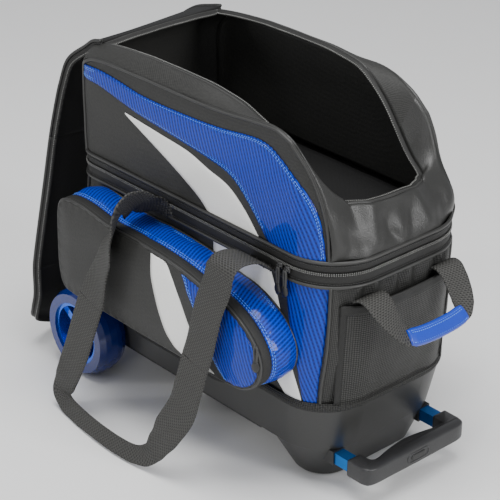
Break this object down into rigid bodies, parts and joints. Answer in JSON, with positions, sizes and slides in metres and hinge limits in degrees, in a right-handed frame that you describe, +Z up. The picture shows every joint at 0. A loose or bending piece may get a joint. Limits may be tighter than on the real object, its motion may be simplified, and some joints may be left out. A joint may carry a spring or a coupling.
{
  "type": "two-ball roller bag",
  "caption": "Soft-sided roller bag for bowling balls with a fold-back shoe compartment, open lid, front pocket, carry straps and telescoping handle.",
  "frame": {"origin": "centre of the whole bounding box at floor level", "axes": "+X towards the telescoping handle, -Y towards the front pocket, +Z up"},
  "size_m": [0.667, 0.4948, 0.479],
  "materials": {
    "tub_plastic": "moulded charcoal plastic, satin with a fine grain",
    "trim_plastic": "black nylon",
    "foot_rubber": "matt black rubber",
    "axle_steel": "zinc-plated steel",
    "bearing_steel": "ground steel",
    "board": "black stiffening board",
    "foam": "fabric-covered foam",
    "charcoal_fabric": "charcoal coated weave, low sheen",
    "gusset_leather": "soft charcoal leatherette",
    "piping_fabric": "black welt cord cover",
    "binding_fabric": "black ribbed binding tape",
    "zip_tape": "black zip tape with coil",
    "blue_vinyl": "glossy blue vinyl with a fine diagonal rib",
    "mesh_fabric": "black net",
    "clear_guard": "clear moulded plastic",
    "webbing": "charcoal ribbed webbing with light flecks",
    "slider_metal": "black enamelled zinc",
    "pull_plastic": "black moulded cord pull",
    "blue_tube": "blue anodised",
    "grip_plastic": "charcoal plastic with a fine texture",
    "screw_chrome": "polished",
    "tyre_blue": "deep blue urethane, satin",
    "hub_blue": "metallic blue",
    "cap_blue": "blue, glossy"
  },
  "bodies": {
    "bag": {"base_tub": "tub_plastic", "foot_pad": "foot_rubber", "handle_housing": "tub_plastic", "tube_sleeves": "tub_plastic", "tube_collars": "trim_plastic", "axle": "axle_steel", "axle_nuts": "axle_steel", "axle_spacers": "trim_plastic", "floor_board": "board", "ball_cups": "foam", "front_wall": "charcoal_fabric", "back_wall": "charcoal_fabric", "wheel_end_wall": "charcoal_fabric", "handle_end_wall": "charcoal_fabric", "wall_piping": "piping_fabric", "tub_binding": "binding_fabric", "main_zip_lower": "zip_tape", "fold_hinge_strip": "charcoal_fabric", "pocket_front_panel": "charcoal_fabric", "pocket_gusset": "blue_vinyl", "pocket_zip": "zip_tape", "mesh_pocket": "mesh_fabric", "wheel_guard": "clear_guard", "front_strap_roots": "webbing", "back_strap_roots": "webbing", "grab_roots": "webbing", "zip_sliders": "slider_metal"},
    "shoe_compartment": {"shoe_front_panel": "charcoal_fabric", "shoe_back_panel": "charcoal_fabric", "shoe_gusset": "gusset_leather", "shoe_floor": "charcoal_fabric", "shoe_piping": "piping_fabric", "main_zip_upper": "zip_tape", "lid_root": "charcoal_fabric"},
    "lid_long": {"lid_long_panel": "charcoal_fabric"},
    "lid_middle": {"lid_middle_panel": "charcoal_fabric"},
    "lid_tip": {"lid_tip_panel": "charcoal_fabric"},
    "front_strap": {"front_strap_legs": "webbing"},
    "front_strap_end": {"front_strap_loop": "webbing"},
    "back_strap": {"back_strap_legs": "webbing"},
    "back_strap_end": {"back_strap_loop": "webbing"},
    "grab_handle": {"grab_webbing": "webbing", "grab_grip": "blue_vinyl"},
    "pull_left": {"main_pull_left": "pull_plastic"},
    "pull_right": {"main_pull_right": "pull_plastic"},
    "pull_pocket": {"pocket_pull": "pull_plastic"},
    "handle": {"handle_tubes": "blue_tube", "tube_wear_plugs": "trim_plastic", "grip_rear_shell": "grip_plastic", "grip_front_shell": "grip_plastic", "grip_screws": "screw_chrome"},
    "button": {"release_button": "grip_plastic"},
    "wheel_front": {"wheel_tyre_front": "tyre_blue", "wheel_hub_front": "hub_blue", "wheel_bearings_front": "bearing_steel", "wheel_cap_front": "cap_blue"},
    "wheel_back": {"wheel_tyre_back": "tyre_blue", "wheel_hub_back": "hub_blue", "wheel_bearings_back": "bearing_steel", "wheel_cap_back": "cap_blue"}
  },
  "joints": [
    {"name": "wheel_front_spin", "type": "hinge", "parent": "bag", "child": "wheel_front", "pos_m": [-0.202, -0.137, 0.0635], "axis": [0, 1, 0], "continuous": true},
    {"name": "wheel_back_spin", "type": "hinge", "parent": "bag", "child": "wheel_back", "pos_m": [-0.202, 0.137, 0.0635], "axis": [0, 1, 0], "continuous": true},
    {"name": "handle_extend", "type": "slide", "parent": "bag", "child": "handle", "axis": [1, 0, 0], "range_m": [0, 0.35]},
    {"name": "release_press", "type": "slide", "parent": "handle", "child": "button", "axis": [-1, 0, 0], "range_m": [0, 0.0025], "stiffness_N_per_m": 800},
    {"name": "shoe_compartment_fold", "type": "hinge", "parent": "bag", "child": "shoe_compartment", "pos_m": [0, 0.1225, 0.3135], "axis": [-1, 0, 0], "range_deg": [0, 90]},
    {"name": "lid_fold", "type": "hinge", "parent": "shoe_compartment", "child": "lid_long", "pos_m": [-0.256, 0, 0.4725], "axis": [-0.1478, 0.989, 0], "range_deg": [0, 261]},
    {"name": "lid_middle_bend", "type": "hinge", "parent": "lid_long", "child": "lid_middle", "pos_m": [-0.2899, -0.05259, 0.16061], "axis": [-0.1691, 0.9747, -0.146], "range_deg": [0, 26]},
    {"name": "lid_tip_bend", "type": "hinge", "parent": "lid_middle", "child": "lid_tip", "pos_m": [-0.29256, -0.06696, 0.06776], "axis": [-0.1691, 0.9747, -0.146], "range_deg": [-5, 0]},
    {"name": "front_strap_lift", "type": "hinge", "parent": "bag", "child": "front_strap", "pos_m": [0.05, -0.192, 0.316], "axis": [-1, 0, 0], "range_deg": [0, 165]},
    {"name": "front_strap_bend", "type": "hinge", "parent": "front_strap", "child": "front_strap_end", "pos_m": [-0.004, -0.2183, 0.11], "axis": [-1, 0, 0], "range_deg": [0, 45]},
    {"name": "back_strap_lift", "type": "hinge", "parent": "bag", "child": "back_strap", "pos_m": [0.05, 0.192, 0.288], "axis": [1, 0, 0], "range_deg": [0, 90]},
    {"name": "back_strap_bend", "type": "hinge", "parent": "back_strap", "child": "back_strap_end", "pos_m": [-0.004, 0.2183, 0.11], "axis": [1, 0, 0], "range_deg": [0, 45]},
    {"name": "grab_handle_swing", "type": "hinge", "parent": "bag", "child": "grab_handle", "pos_m": [0.279, 0, 0.2815], "axis": [0, -1, 0], "range_deg": [0, 95]},
    {"name": "main_pull_left_swing", "type": "hinge", "parent": "bag", "child": "pull_left", "pos_m": [0.182, -0.1304, 0.3085], "axis": [-1, 0, 0], "range_deg": [0, 100]},
    {"name": "main_pull_right_swing", "type": "hinge", "parent": "bag", "child": "pull_right", "pos_m": [0.194, -0.1304, 0.3085], "axis": [-1, 0, 0], "range_deg": [0, 100]},
    {"name": "pocket_pull_swing", "type": "hinge", "parent": "bag", "child": "pull_pocket", "pos_m": [0.206, -0.1875, 0.2315], "axis": [-1, 0, 0], "range_deg": [0, 100]}
  ],
  "couplings": [
    {"joint": "lid_middle_bend", "follows": "lid_fold", "ratio": 0.099617},
    {"joint": "lid_tip_bend", "follows": "lid_fold", "ratio": -0.019157},
    {"joint": "front_strap_bend", "follows": "front_strap_lift", "ratio": 0.2},
    {"joint": "back_strap_bend", "follows": "back_strap_lift", "ratio": 0.2}
  ]
}
